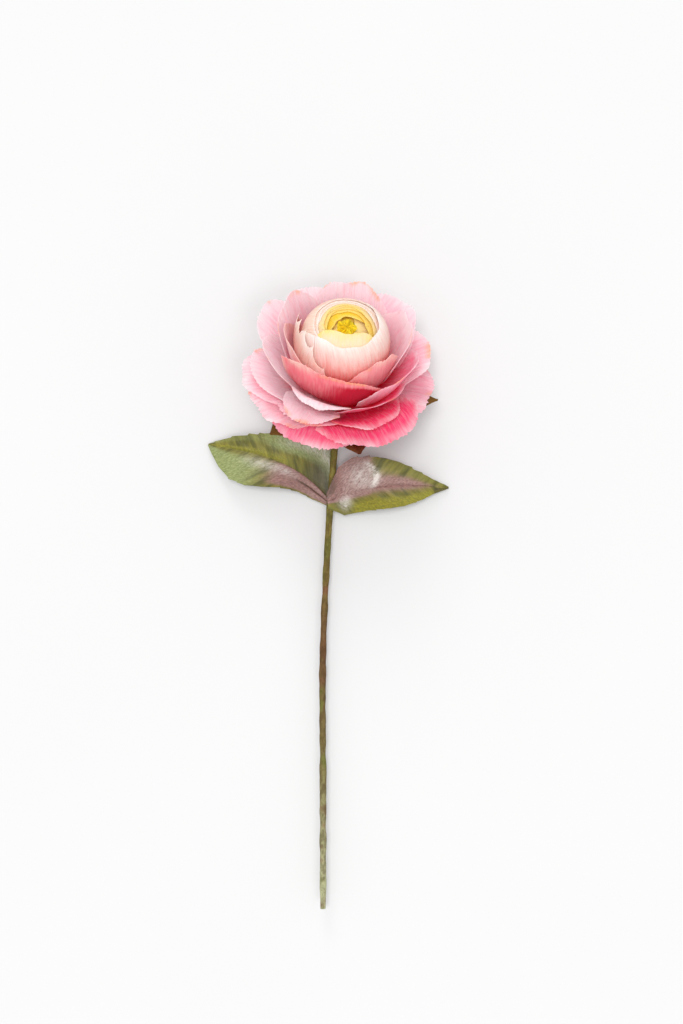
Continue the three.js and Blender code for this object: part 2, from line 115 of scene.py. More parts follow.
# Tape: its turns lap over each other with a step. It has long lumps and short uneven ones, and swells where
# the leaves are taped on, in the solids by the joint's swell and in the scene by less.
TAPE_PITCH = 6.5
TAPE_STEP = 0.09
TAPE_LUMP = 0.1
TAPE_UNEVEN = 0.07
TAPE_SWELL = 0.15
LEAF_JOINT_DROP = 46.5
LEAF_JOINT_SWELL = 0.45
LEAF_JOINT_SPREAD = 6

# Head: where its base stands, how it nods, and the bud with its peg
HEAD_HEIGHT = 220.5
HEAD_RIGHT = 6.8
HEAD_FORWARD = 10
NOD_ANGLE = 57
NOD_TURN = 5
NOD_RISE = 20.5
NOD_LEAD = 6
BUD_RADIUS = 18.3
PEG_RADIUS = 3
PEG_NECK_RADIUS = 4.1
WIRE_DEPTH = 12

# Bud petals, on spheres one layer apart from the tuft outwards: azimuth and half span round the axis, the
# radius of the opening that the rim leaves, how far the rim is pressed out against the next petals and how
# far the left corner peels off, in millimetres
BudPetal = namedtuple("BudPetal", "azimuth span opening press peel", defaults=(0,))
BUD_PETALS = [
    BudPetal(275, 70, 2.8, 3.74),
    BudPetal(90, 100, 3.4, 3.45),
    BudPetal(195, 85, 3, 3.15),
    BudPetal(345, 85, 3.1, 2.86),
    BudPetal(105, 108, 4.5, 3.46),
    BudPetal(65, 100, 6.5, 3.26),
    BudPetal(118, 102, 7.5, 2.97),
    BudPetal(75, 104, 8.3, 2.59),
    BudPetal(122, 106, 9, 2.2),
    BudPetal(88, 112, 10.1, 1.78),
    BudPetal(124, 112, 11.5, 1.35),
    BudPetal(264, 60, 6, 0.93),
    BudPetal(136, 114, 13, 0.44),
    BudPetal(300, 116, 12.4, 0, 1.3),
]
BUD_LAYER = 1.07 * LAYER

# Corners of the bud petals are cut off by these shares of the length, more where one peels. Their rims are
# pressed out between these angles from the foot of the bud.
BUD_CORNER = 0.12
PEELED_CORNER = 0.16
PRESS_START = 0.9
PRESS_END = 2.2

# Heart petals, by index, are yellow. The bud leans to the front at its top, and rings nearer to its axis are
# set further forward, in full at the inner radius and not at all at the outer one.
HEART_PETALS = [0, 1, 2, 3, 4, 5, 6, 7, 8, 11]
HEART_LEAN = 2.6
HEART_SET = 2.4
HEART_INNER = 3
HEART_OUTER = 11

# Dye of the bud: the share of yellow that the outer heart petals keep, how much sooner the heart's deep dye
# fades in front, how much further it runs up the cream petals, and how many times narrower the pale rims
# are at the back. The deeper gold and peach at the back of the bud are partly painted shade.
CREAMY = 0.3
HEART_FADE = 0.2
CREAM_BLUSH = 0.14
BACK_RIM = 5

# Open petals, from the inside out: azimuth and half span round the axis, the middle of the rim in bud
# radii from the axis and above the bottom of the bud, and where the rim points. In millimetres, cup brings
# both sides in towards the axis and twist one of them, ruffle is the height of the rim's waves, curl is how
# far the rim rolls outwards, and ridge is the height of a fold down the petal. In shares of the length,
# slant trims one side, corner trims both and fray cuts the rim into points. Belly and crest are how far the
# profile holds its direction at the foot and at the rim, in shares of its chord. Pale is how much paler than
# its neighbours it is, partly in its dye and partly as painted light, and the last field is painted shade:
# how far the deep dye of its foot is painted up one side of its fold.
Petal = namedtuple(
    "Petal",
    "azimuth span reach rise pitch cup twist slant corner belly crest ruffle curl ridge fray pale flush",
    defaults=(0, 0, 0, 0.3, 0.5, 0.5, 0.2, 0.25, 0, 0, 0, 0))
OPEN_PETALS = [
    Petal(195, 58, 0.96, 1.53, 110, cup=-1.6, twist=1, ruffle=0.05, curl=0, fray=0.1),
    Petal(306, 42, 1.16, 1.46, 94, pale=0.4),
    Petal(196, 50, 1.34, 1.41, 80, twist=0.6, pale=0.9),
    Petal(255, 54, 1.5, 1.39, 82, cup=-2, slant=-0.1, corner=0.16, ridge=1.8, flush=0.85),
    Petal(10, 44, 1.44, 1.34, 74, twist=-1, slant=-0.06, pale=0.35),
    Petal(146, 42, 1.47, 1.33, 76),
    Petal(247, 27, 2.06, 0.66, -42, twist=-1.4, belly=0.64, crest=0.22, pale=0.8),
    Petal(80, 44, 1.5, 1.12, 72),
    Petal(324, 42, 1.84, 1.13, 66, cup=1.6, pale=0.2),
    Petal(122, 38, 1.64, 0.92, 54),
    Petal(36, 42, 1.68, 1.01, 52),
    Petal(186, 38, 1.76, 0.78, 52, pale=0.3),
    Petal(302, 42, 1.86, 0.57, 42),
    Petal(92, 42, 1.65, 0.68, 44),
    Petal(150, 34, 1.92, 0.77, 40),
    Petal(236, 30, 2.11, 0.06, -6, pale=0.6),
    Petal(188, 36, 2.06, 0.23, 34, pale=0.3),
    Petal(56, 42, 1.7, 0.57, 34),
    Petal(112, 40, 1.69, 0.3, 26),
    Petal(10, 36, 1.98, 0.3, 18, pale=0.15),
    Petal(295, 38, 2.12, 0.08, 16, pale=-0.08),
    Petal(87, 40, 1.67, 0.11, 12),
    Petal(234, 36, 2.07, -0.04, 10, ruffle=0.02, curl=0.1, pale=0.2),
    Petal(32, 38, 1.82, 0, 4),
    Petal(186, 34, 2.24, -0.09, 2, ruffle=0.02),
    Petal(293, 46, 2.41, -0.22, -6, corner=0.16, pale=-0.12),
    Petal(136, 40, 1.77, -0.29, 3, ruffle=0.02, curl=0),
    Petal(208, 35, 2.28, -0.27, -6, corner=0.2, ruffle=0.1, pale=0.2),
    Petal(344, 35, 2.19, -0.3, -8, corner=0.2, pale=0.15),
    Petal(245, 46, 2.36, -0.34, -10, corner=0.16, ruffle=0.1, pale=-0.16),
]
OPEN_STATION = 0.6 * LAYER

# Open petals stand this much further off the bud at the back than in the middle, over a run out from it
CUP_LEAN = 7
CUP_LEAN_RUN = 20

# Dye of the open petals: up to these counts they are wisps of the bud's cream, then salmon, then pink. Those
# at this azimuth are the palest, partly in their dye and partly as painted light. Paler petals lose their
# deep dye sooner, and painted shade hides the pale rim, as does a pale below zero.
WISP_PETALS = 1
SALMON_PETALS = 4
PALE_AZIMUTH = 105
PALE_SPREAD = 0.7
PALE_FADE = 0.35
RIM_COVER = 8

# Petals are longer along their curve than along its chord
PETAL_SLACK = 1.15

# Width of the pale rim of a petal, and of the tint along its edge
RIM_WIDTH = 5.5
TINT_WIDTH = 2.5

# Sepals: azimuth round the axis, reach from it and how olive they are
Sepal = namedtuple("Sepal", "azimuth reach tone")
SEPALS = [
    Sepal(345, 41.5, 0.9),
    Sepal(279, 39, 0),
    Sepal(224, 41.5, 0.75),
    Sepal(140, 37, 0.6),
    Sepal(60, 37, 0.4),
]
SEPAL_RISE = -5
SEPAL_SAG = 1.5
SEPAL_HALF_WIDTH = 6.2
SEPAL_CUP = 0.5
SEPAL_WAVE = 0.15
SEPAL_STATION = 1.6 * LAYER

# Tuft: the height of its solid, and the cap that is seen: its radius, how high its crown and its rim stand
# over the foot of the solid, the height of its pleats, and how far it sits to the left and to the front
TUFT_HEIGHT = 5
TUFT_RADIUS = 3.8
TUFT_CROWN = 7.4
TUFT_RIM = 6.4
TUFT_PLEAT = 0.65
TUFT_LEFT = 0.6
TUFT_FRONT = 1.2

# Leaf paper and the wire behind it, which ends at a share of the length. The leaf in front of the stem laps
# over it, and its wire starts clear of it.
LEAF_PAPER = 0.45
LEAF_WIRE_RADIUS = 0.5
LEAF_WIRE_START = 0.08
LEAF_WIRE_END = 0.75
LEAF_LAP = -1.2

# Relief of the leaves: the crease on the midrib, the crease beside it at the base of the leaf behind the
# stem, waves towards the sides, side veins, and teeth along the edge
LEAF_CREASE = 0.35
LEAF_SIDE_CREASE = 0.7
LEAF_WAVE = 0.6
LEAF_VEIN = 0.12
LEAF_VEINS = 9
LEAF_VEIN_SLOPE = 2.2
LEAF_TEETH = 13
LEAF_TOOTH = 0.9

# Leaves: side, length, heading, bow, fold and arch of the blade, whether its base is behind the stem, and
# half widths above and below the midrib at even steps from base to tip, in shares of the length
Leaf = namedtuple("Leaf", "side length heading bow fold arch behind upper lower")
LEAVES = [
    Leaf("left", 58, 155, 0.14, 2.4, 5, 1,
         [0.09, 0.29, 0.3, 0.26, 0.2, 0.17, 0.13, 0.08, 0.006],
         [0.04, 0.1, 0.13, 0.17, 0.22, 0.25, 0.23, 0.14, 0.006]),
    Leaf("right", 51, 6.7, 0.1, 2.2, 4, 0,
         [0.07, 0.24, 0.28, 0.26, 0.23, 0.19, 0.13, 0.06, 0.006],
         [0.06, 0.17, 0.185, 0.19, 0.19, 0.175, 0.13, 0.06, 0.006]),
]

# Colours as they look: a dark and a light one in each pair, and the stem's tones by their share of its height
LEAF_OLIVE = (0x48481A, 0x78722C)
LEAF_SAGE = (0x6A7442, 0x929A66)
LEAF_YELLOW = (0x686620, 0x8E8826)
LEAF_MAUVE = (0x765654, 0x9A7872)
# A painted silvery sheen on the leaves, and their painted shade
LEAF_PAINTED_SHEEN = 0xC8C3BC
LEAF_SHADE = 0x3A3420
STEM_TONES = [(0.0, 0xA4A680), (0.28, 0x6E6438), (0.5, 0x5E4024), (0.75, 0x74682E)]
STEM_MOSS = 0x5E6224
STEM_ROSE = 0x70402E
STEM_MOTTLE = 0x3E2C14
STEM_LAP = 0x33281A
WIRE_GREY = (0x8E8E8C, 0xB4B2AC)
FLOOR_GREY = (0xCACACA, 0xCCCCCC)

# Camera: how far in front of the stem it stands, to the right of it and above its foot, its lens, and how
# far it sees, in metres
CAMERA_FORWARD = 608
CAMERA_RIGHT = 7.9
CAMERA_HEIGHT = 169.5
CAMERA_LENS = 50
CAMERA_CLIP = 20

# Floor: half its side, and how far under the flower it lies, in metres
FLOOR_HALF = 3.0
FLOOR_DROP = 0.0005

# Light from all round, and lamps: how broad they are in degrees, their strength, and the way to each from
# the flower
WORLD_STRENGTH = 0.9
LAMP_BREADTH = 20
LAMPS = [
    ("key lamp", 1.5, (-0.08, 0.12, 1)),
    ("top lamp", 0.7, (-0.15, 1, 0.55)),
    ("fill lamp", 0.5, (0.3, -0.25, 1)),
]

# The mark of the stem's mount lies this far to the right of the stem's middle
MOUNT_RIGHT = 0.6


def smooth(value, low, high):
    share = np.clip((value - low) / (high - low), 0, 1)
    return share * share * (3 - 2 * share)


def mix(start, end, share):
    return start + (end - start) * share


def grid(rows, columns):
    """Shares u along a sheet from 0 to 1, and v across it from -1 to 1."""
    u, v = np.meshgrid(np.linspace(0, 1, rows + 1), np.linspace(-1, 1, columns + 1), indexing="ij")
    return u, v


def wander(values, seed, first, last):
    """A smooth random line of waves with from first to last turns over the unit, about 1 high."""
    random = np.random.default_rng(seed)
    line = np.zeros_like(values)
    for turns in range(first, last + 1):
        line += random.normal() * np.sin(math.pi * turns * values + random.uniform(0, TURN))
    return line / math.sqrt(0.5 * (last - first + 1))


# Heights up the axis of the head, from its base
BUD_FOOT = SEPAL_STATION + (len(OPEN_PETALS) + 2) * OPEN_STATION
BUD_CENTRE = BUD_FOOT + BUD_RADIUS
CORE_RADIUS = BUD_RADIUS - len(BUD_PETALS) * BUD_LAYER - 0.5 * PAPER
NECK_HEIGHT = BUD_CENTRE - math.sqrt(CORE_RADIUS ** 2 - PEG_NECK_RADIUS ** 2)
TUFT_FOOT = BUD_CENTRE + CORE_RADIUS + GLUE_GAP

LEAF_JOINT_HEIGHT = HEAD_HEIGHT - LEAF_JOINT_DROP
NOD_START = HEAD_HEIGHT - NOD_RISE
HEAD_BASE = Vector((HEAD_RIGHT, -HEAD_FORWARD, HEAD_HEIGHT))
HEAD_AXIS = Vector((0, 0, 1))
HEAD_AXIS.rotate(Quaternion((1, 0, 0), math.radians(NOD_ANGLE)))
HEAD_AXIS.rotate(Quaternion((0, 0, 1), math.radians(NOD_TURN)))


def head_frame():
    right = Vector((0, 0, 1)).cross(HEAD_AXIS).normalized()
    back = HEAD_AXIS.cross(right)
    turn = Matrix((right, back, HEAD_AXIS)).transposed().to_4x4()
    return Matrix.Translation(HEAD_BASE) @ turn


def heart_lean(height, ring=BUD_RADIUS):
    """How far the bud leans to the front of the head at a height up the axis, and further by its middle."""
    lean = HEART_LEAN + HEART_SET * (1 - smooth(ring, HEART_INNER, HEART_OUTER))
    return lean * smooth((height - BUD_CENTRE) / BUD_RADIUS, 0.3, 1)


def lying_frame():
    """Takes the growing flower to where it lies: the stem's mount gives its foot and its line, and the
    tuft in the head gives its roll."""
    mount = next(mount for mount in frame["record"]["mounts"] if mount["name"] == "stem_end")
    mark = Vector(mount["pos_m"]) / MM
    up = -Vector(mount["axis"]).normalized()
    corners = frame["nodes"]["centre_tuft"].data.vertices
    tuft = sum((corner.co for corner in corners), Vector()) / len(corners) / MM
    lying = (tuft - mark) - up * (tuft - mark).dot(up)
    centre = TUFT_FOOT + 0.5 * TUFT_HEIGHT
    grown = head_frame() @ Vector((0, -heart_lean(centre), centre)) - Vector((MOUNT_RIGHT, 0, 0))
    right = lying.normalized()
    right.rotate(Quaternion(up, -math.atan2(grown.y, grown.x)))
    turn = Matrix((right, up.cross(right), up)).transposed().to_4x4()
    return Matrix.Translation(mark) @ turn @ Matrix.Translation((-MOUNT_RIGHT, 0, 0))


STEM_LIE = lying_frame()
HEAD_LIE = STEM_LIE @ head_frame()


def lay(points, lie):
    """Points in millimetres, taken to the row frame in metres."""
    turn = np.array(lie)
    return (points @ turn[:3, :3].T + turn[:3, 3]) * MM


def round_axis(radius, angle, height):
    return np.stack([radius * np.cos(angle), radius * np.sin(angle), height], axis=-1)


# Meshes

def make_piece(name, vertices, faces, attributes, material, slot, *nodes):
    """A smooth mesh piece that rides on the flower and stands for the named solids."""
    mesh = bpy.data.meshes.new(name)
    mesh.from_pydata(vertices.tolist(), [], faces)
    for attribute, values in attributes.items():
        layer = mesh.attributes.new(attribute, "FLOAT_VECTOR", "POINT")
        layer.data.foreach_set("vector", values.astype(np.float32).ravel())
    mesh.shade_smooth()
    mesh.set_sharp_from_angle(angle=math.radians(SHARP_ANGLE))
    mesh.materials.append(material)
    piece = bpy.data.objects.new(name, mesh)
    bpy.context.scene.collection.objects.link(piece)
    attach(piece, "root")
    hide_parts(*nodes)


def sheet_faces(rows, columns):
    """Faces of a closed sheet: the front grid, the back grid and the rim between them."""
    index = np.arange((rows + 1) * (columns + 1)).reshape(rows + 1, columns + 1)
    back = index.size
    front = np.stack([index[:-1, :-1], index[1:, :-1], index[1:, 1:], index[:-1, 1:]], axis=-1)
    front = front.reshape(-1, 4)
    rim = np.concatenate([index[0, :-1], index[:-1, -1], index[-1, :0:-1], index[:0:-1, 0]])
    ahead = np.roll(rim, -1)
    edge = np.stack([rim, ahead, ahead + back, rim + back], axis=-1)
    return np.concatenate([front, front[:, ::-1] + back, edge]).tolist()


def sheet_piece(name, middle, thickness, attributes, material, slot, node):
    """A closed sheet of even thickness about a grid of points in the row frame."""
    rows, columns = middle.shape[0] - 1, middle.shape[1] - 1
    normal = np.cross(np.gradient(middle, axis=0), np.gradient(middle, axis=1))
    normal /= np.linalg.norm(normal, axis=-1, keepdims=True) + 1e-12
    half = 0.5 * thickness * MM * normal
    vertices = np.concatenate([(middle + half).reshape(-1, 3), (middle - half).reshape(-1, 3)])
    both = {}
    for attribute, values in attributes.items():
        flat = values.reshape(-1, 3)
        both[attribute] = np.concatenate([flat, flat])
    make_piece(name, vertices, sheet_faces(rows, columns), both, material, slot, node)


def skin_piece(name, rings, attributes, material, slot, *nodes):
    """A closed skin over rings of points, from one end of a form to the other."""
    count, sides = rings.shape[0], rings.shape[1]
    index = np.arange(count * sides).reshape(count, sides)
    ahead = np.roll(index, -1, axis=1)
    wall = np.stack([index[:-1], ahead[:-1], ahead[1:], index[1:]], axis=-1).reshape(-1, 4).tolist()
    caps = [index[0, ::-1].tolist(), index[-1].tolist()]
    flat = {attribute: values.reshape(-1, 3) for attribute, values in attributes.items()}
    make_piece(name, rings.reshape(-1, 3), wall + caps, flat, material, slot, *nodes)


# Shader nodes

def paint(code):
    """A colour written as it looks, for a shader socket."""
    channels = [(code >> shift & 255) / 255 for shift in (16, 8, 0)]
    linear = [c / 12.92 if c <= 0.04045 else ((c + 0.055) / 1.055) ** 2.4 for c in channels]
    return (*linear, 1)


def put(tree, kind, sockets=None, **settings):
    """A shader node with its settings, and its sockets set or linked."""
    node = tree.nodes.new("ShaderNode" + kind)
    for setting, value in settings.items():
        setattr(node, setting, value)
    for socket, value in (sockets or {}).items():
        if isinstance(value, bpy.types.NodeSocket):
            tree.links.new(value, node.inputs[socket])
        else:
            node.inputs[socket].default_value = value
    return node


def reckon(tree, operation, one, other=0.0):
    return put(tree, "Math", {0: one, 1: other}, operation=operation).outputs[0]


def remap(tree, value, low, high, to_low=0.0, to_high=1.0):
    sockets = {"Value": value, "From Min": low, "From Max": high, "To Min": to_low, "To Max": to_high}
    return put(tree, "MapRange", sockets, interpolation_type="SMOOTHSTEP").outputs[0]


def blend(tree, share, one, other):
    sockets = {0: share, 6: one, 7: other}
    return put(tree, "Mix", sockets, data_type="RGBA").outputs[2]


def noise(tree, place, scale, detail=3.0, roughness=0.55):
    sockets = {"Vector": place, "Scale": scale, "Detail": detail, "Roughness": roughness}
    return put(tree, "TexNoise", sockets).outputs["Fac"]


def read_parts(tree, attribute):
    """The three values that a piece's mesh holds under a name."""
    vector = put(tree, "Attribute", attribute_name=attribute).outputs["Vector"]
    parts = put(tree, "SeparateXYZ", {0: vector})
    return parts.outputs[0], parts.outputs[1], parts.outputs[2]


def stretched(tree, across, along, offset):
    return put(tree, "CombineXYZ", {0: across, 1: along, 2: offset}).outputs[0]


def new_group(name, inputs, outputs):
    """An empty node group with named sockets, and the sockets of its entry and exit."""
    group = bpy.data.node_groups.new(name, "ShaderNodeTree")
    for socket, kind in inputs.items():
        group.interface.new_socket(socket, in_out="INPUT", socket_type="NodeSocket" + kind)
    for socket, kind in outputs.items():
        group.interface.new_socket(socket, in_out="OUTPUT", socket_type="NodeSocket" + kind)
    entry = group.nodes.new("NodeGroupInput").outputs
    leave = group.nodes.new("NodeGroupOutput").inputs
    return group, entry, leave


def use_group(tree, group, sockets):
    return put(tree, "Group", sockets, node_tree=group).outputs


def new_material(name):
    """A material with its node tree and its one surface shader."""
    material = bpy.data.materials.new(name)
    material.use_nodes = True
    tree = material.node_tree
    return material, tree, tree.nodes["Principled BSDF"]


def set_surface(tree, shader, sockets):
    for socket, value in sockets.items():
        if isinstance(value, bpy.types.NodeSocket):
            tree.links.new(value, shader.inputs[socket])
        else:
            shader.inputs[socket].default_value = value


def let_light_through(tree, shader, colour, normal, glow_share):
    """Thin paper passes part of the light that falls on its other side."""
    glow = put(tree, "BsdfTranslucent", {"Color": colour, "Normal": normal})
    both = put(tree, "MixShader", {0: glow_share, 1: shader.outputs[0], 2: glow.outputs[0]})
    tree.links.new(both.outputs[0], tree.nodes["Material Output"].inputs["Surface"])


def make_crepe_grain():
    """Fine ribs along the length of crepe paper, and the broad streaks that its dye leaves between them."""
    inputs = {"Across": "Float", "Along": "Float", "Offset": "Float"}
    group, entry, leave = new_group("crepe grain", inputs, {"Height": "Float", "Streak": "Float"})
    rib_run = reckon(group, "MULTIPLY", entry["Along"], 0.07)
    rib_place = stretched(group, entry["Across"], rib_run, entry["Offset"])
    ribs = noise(group, rib_place, 2.2, 3.0)
    streak_run = reckon(group, "MULTIPLY", entry["Along"], 0.12)
    streak_place = stretched(group, entry["Across"], streak_run, entry["Offset"])
    streaks = noise(group, streak_place, 1.0, 3.0)
    height = reckon(group, "ADD", ribs, reckon(group, "MULTIPLY", streaks, 0.8))
    mean = reckon(group, "MULTIPLY", reckon(group, "ADD", ribs, streaks), 0.5)
    group.links.new(height, leave["Height"])
    group.links.new(mean, leave["Streak"])
    return group


def make_petal_dye():
    """Colour of a dyed petal: deep at its foot, its body, a pale rim, and patches of tint along the edge."""
    inputs = {
        "Share": "Float", "Edge": "Float", "Tone": "Float", "Streak": "Float", "Patch": "Float",
        "Deep": "Color", "Body": "Color", "Pale": "Color", "Rim": "Color", "Tint": "Color",
    }
    group, entry, leave = new_group("petal dye", inputs, {"Colour": "Color"})
    # Tone and share carry painted light and shade as well as the dye
    body = blend(group, entry["Tone"], entry["Body"], entry["Pale"])
    risen = reckon(group, "ADD", entry["Share"], reckon(group, "MULTIPLY", entry["Streak"], 0.2))
    colour = blend(group, remap(group, risen, 0.34, 0.9), entry["Deep"], body)
    rim = remap(group, entry["Edge"], 0.0, RIM_WIDTH, 1.0, 0.0)
    rim = reckon(group, "MULTIPLY", rim, remap(group, entry["Patch"], 0.25, 0.7))
    colour = blend(group, rim, colour, entry["Rim"])
    tint = remap(group, entry["Edge"], 0.0, TINT_WIDTH, 0.7, 0.0)
    tint = reckon(group, "MULTIPLY", tint, remap(group, entry["Patch"], 0.45, 0.32))
    colour = blend(group, tint, colour, entry["Tint"])
    light = remap(group, entry["Streak"], 0.46, 0.62, 0.0, 0.25)
    light = reckon(group, "MULTIPLY", light, remap(group, risen, 0.3, 0.9))
    colour = blend(group, light, colour, entry["Rim"])
    dark = remap(group, entry["Streak"], 0.5, 0.36, 0.0, 0.12)
    colour = blend(group, dark, colour, entry["Deep"])
    group.links.new(colour, leave["Colour"])
    return group


CREPE_GRAIN = make_crepe_grain()
PETAL_DYE = make_petal_dye()


def petal_material(name, deep, body, pale, rim, tint, glow=PAPER_GLOW):
    """Crepe paper, dyed from the foot of the petal to its rim."""
    material, tree, shader = new_material(name)
    across, along, offset = read_parts(tree, "cut")
    share, edge, tone = read_parts(tree, "bloom")
    grain = use_group(tree, CREPE_GRAIN, {"Across": across, "Along": along, "Offset": offset})
    patch = noise(tree, stretched(tree, across, along, offset), 0.11, 2.0)
    dye = use_group(tree, PETAL_DYE, {
        "Share": share, "Edge": edge, "Tone": tone, "Streak": grain["Streak"], "Patch": patch,
        "Deep": paint(deep), "Body": paint(body), "Pale": paint(pale),
        "Rim": paint(rim), "Tint": paint(tint),
    })
    bump = put(tree, "Bump", {"Strength": 0.8, "Distance": 0.5 * MM, "Height": grain["Height"]})
    set_surface(tree, shader, {
        "Base Color": dye["Colour"],
        "Roughness": remap(tree, grain["Streak"], 0.2, 0.8, 0.72, 0.92),
        "Normal": bump.outputs[0],
        "Specular IOR Level": 0.25,
    })
    let_light_through(tree, shader, dye["Colour"], bump.outputs[0], glow)
    return material


def leaf_material():
    """Tinted leaf paper: olive, washed with sage, yellow and mauve, with a painted silvery sheen and painted
    shade.
    """
    material, tree, shader = new_material("leaf paper")
    sloped, across, offset = read_parts(tree, "cut")
    sage, mauve, yellow = read_parts(tree, "bloom")
    painted_sheen, shade, _ = read_parts(tree, "sheen_and_shade")
    veins = noise(tree, stretched(tree, sloped, reckon(tree, "MULTIPLY", across, 0.3), offset), 0.35, 4.0)
    speck = noise(tree, stretched(tree, sloped, across, offset), 1.1, 4.0, 0.65)
    colour = blend(tree, remap(tree, veins, 0.3, 0.7), *map(paint, LEAF_OLIVE))
    for share, tones in ((sage, LEAF_SAGE), (yellow, LEAF_YELLOW), (mauve, LEAF_MAUVE)):
        wash = blend(tree, remap(tree, speck, 0.3, 0.7), *map(paint, tones))
        edge = reckon(tree, "ADD", share, reckon(tree, "MULTIPLY", veins, 0.6))
        colour = blend(tree, remap(tree, edge, 0.35, 1.15, 0.0, 0.95), colour, wash)
    # Painted sheen: silvery highlights where the leaf catches the light
    sheen_share = reckon(tree, "MULTIPLY", painted_sheen, remap(tree, reckon(tree, "ADD", speck, veins), 0.6, 1.25))
    colour = blend(tree, sheen_share, colour, paint(LEAF_PAINTED_SHEEN))
    # Painted shade in the creases and near the stem, and a dark strip at the right leaf's tip
    colour = blend(tree, remap(tree, shade, 0.0, 1.0, 0.0, 0.75), colour, paint(LEAF_SHADE))
    bump = put(tree, "Bump", {"Strength": 0.4, "Distance": 0.3 * MM, "Height": speck})
    set_surface(tree, shader, {
        "Base Color": colour,
        "Roughness": remap(tree, speck, 0.3, 0.7, 0.55, 0.35),
        "Normal": bump.outputs[0],
        "Specular IOR Level": 0.3,
    })
    return material


def stem_material():
    """Waxed paper tape: pale at the foot, brown and olive further up, mossy and rosy in patches, with dark
    laps where the turns overlap."""
    material, tree, shader = new_material("stem tape")
    around, height, lap = read_parts(tree, "cut")
    mottle = noise(tree, stretched(tree, around, reckon(tree, "MULTIPLY", height, 0.5), lap), 0.5, 4.0, 0.65)
    drift = noise(tree, stretched(tree, around, height, lap), 0.09, 2.0)
    ramp = put(tree, "ValToRGB", {0: reckon(tree, "DIVIDE", height, HEAD_HEIGHT)})
    elements = ramp.color_ramp.elements
    while len(elements) < len(STEM_TONES):
        elements.new(0.5)
    for element, (place, code) in zip(elements, STEM_TONES):
        element.position = place
        element.color = paint(code)
    colour = blend(tree, remap(tree, drift, 0.52, 0.66, 0.0, 0.7), ramp.outputs[0], paint(STEM_MOSS))
    colour = blend(tree, remap(tree, drift, 0.46, 0.34, 0.0, 0.6), colour, paint(STEM_ROSE))
    colour = blend(tree, remap(tree, mottle, 0.4, 0.62, 0.0, 0.55), colour, paint(STEM_MOTTLE))
    colour = blend(tree, remap(tree, lap, 0.84, 1.0, 0.0, 0.5), colour, paint(STEM_LAP))
    bump = put(tree, "Bump", {"Strength": 0.8, "Distance": 0.4 * MM, "Height": mottle})
    set_surface(tree, shader, {
        "Base Color": colour,
        "Roughness": remap(tree, mottle, 0.3, 0.7, 0.5, 0.75),
        "Normal": bump.outputs[0],
        "Specular IOR Level": 0.2,
    })
    return material


def wire_material():
    """Plain drawn wire with a dull bloom on it."""
    material, tree, shader = new_material("florist wire")
    place = put(tree, "TexCoord").outputs["Object"]
    bloom = noise(tree, place, 900.0, 3.0)
    set_surface(tree, shader, {
        "Base Color": blend(tree, bloom, *map(paint, WIRE_GREY)),
        "Roughness": remap(tree, bloom, 0.3, 0.7, 0.3, 0.5),
        "Metallic": 1.0,
    })
    return material


HEART_PAPER = petal_material(
    "heart petal", deep=0xFED030, body=0xFEF0DC, pale=0xFEDC44, rim=0xFEEC90, tint=0xFEE880, glow=HEART_GLOW)
CREAM_PAPER = petal_material(
    "cream petal", deep=0xFE7068, body=0xFEEAE2, pale=0xFEE2D0, rim=0xFEFAF6, tint=0xFEEEDC, glow=BUD_GLOW)
SALMON_PAPER = petal_material(
    "salmon petal", deep=0xE02C4C, body=0xFE8EA0, pale=0xFEE6E8, rim=0xFEE4DC, tint=0xFED0A0)
PINK_PAPER = petal_material(
    "pink petal", deep=0xFE2464, body=0xFE6498, pale=0xFEF0F4, rim=0xFEF2F4, tint=0xFECAA4)
SEPAL_PAPER = petal_material(
    "sepal", deep=0x4A1E10, body=0x5E2414, pale=0x86762E, rim=0x8A5A34, tint=0x8A5A20)
TUFT_PAPER = petal_material(
    "tuft", deep=0xFED020, body=0xFEE62C, pale=0xFEEA38, rim=0xFEF250, tint=0xFEEA34, glow=TUFT_GLOW)
CORE_PAPER = petal_material(
    "core", deep=0xE2B84A, body=0xEED77A, pale=0xF0DC8C, rim=0xF3E5AA, tint=0xE8CC70)
LEAF_TINT = leaf_material()
STEM_TAPE = stem_material()
WIRE = wire_material()


# Head

def cut_attributes(across, along, edge, share, tone, number):
    """What the dye reads on a sheet: its place in the paper, and its share of the length, edge and tone."""
    offset = np.full_like(across, GRAIN_STEP * number)
    return {
        "cut": np.stack([across, along, offset], axis=-1),
        "bloom": np.stack([share, edge, np.broadcast_to(tone, share.shape)], axis=-1),
    }


def paleness(azimuth):
    """Petals at the back and left of the head are paler than those at its front and right, partly in their
    dye and partly as painted light. On the bud the same share turns the back to peach and gold, partly
    painted shade.
    """
    return (0.5 + 0.5 * math.cos(math.radians(azimuth - PALE_AZIMUTH))) ** PALE_SPREAD


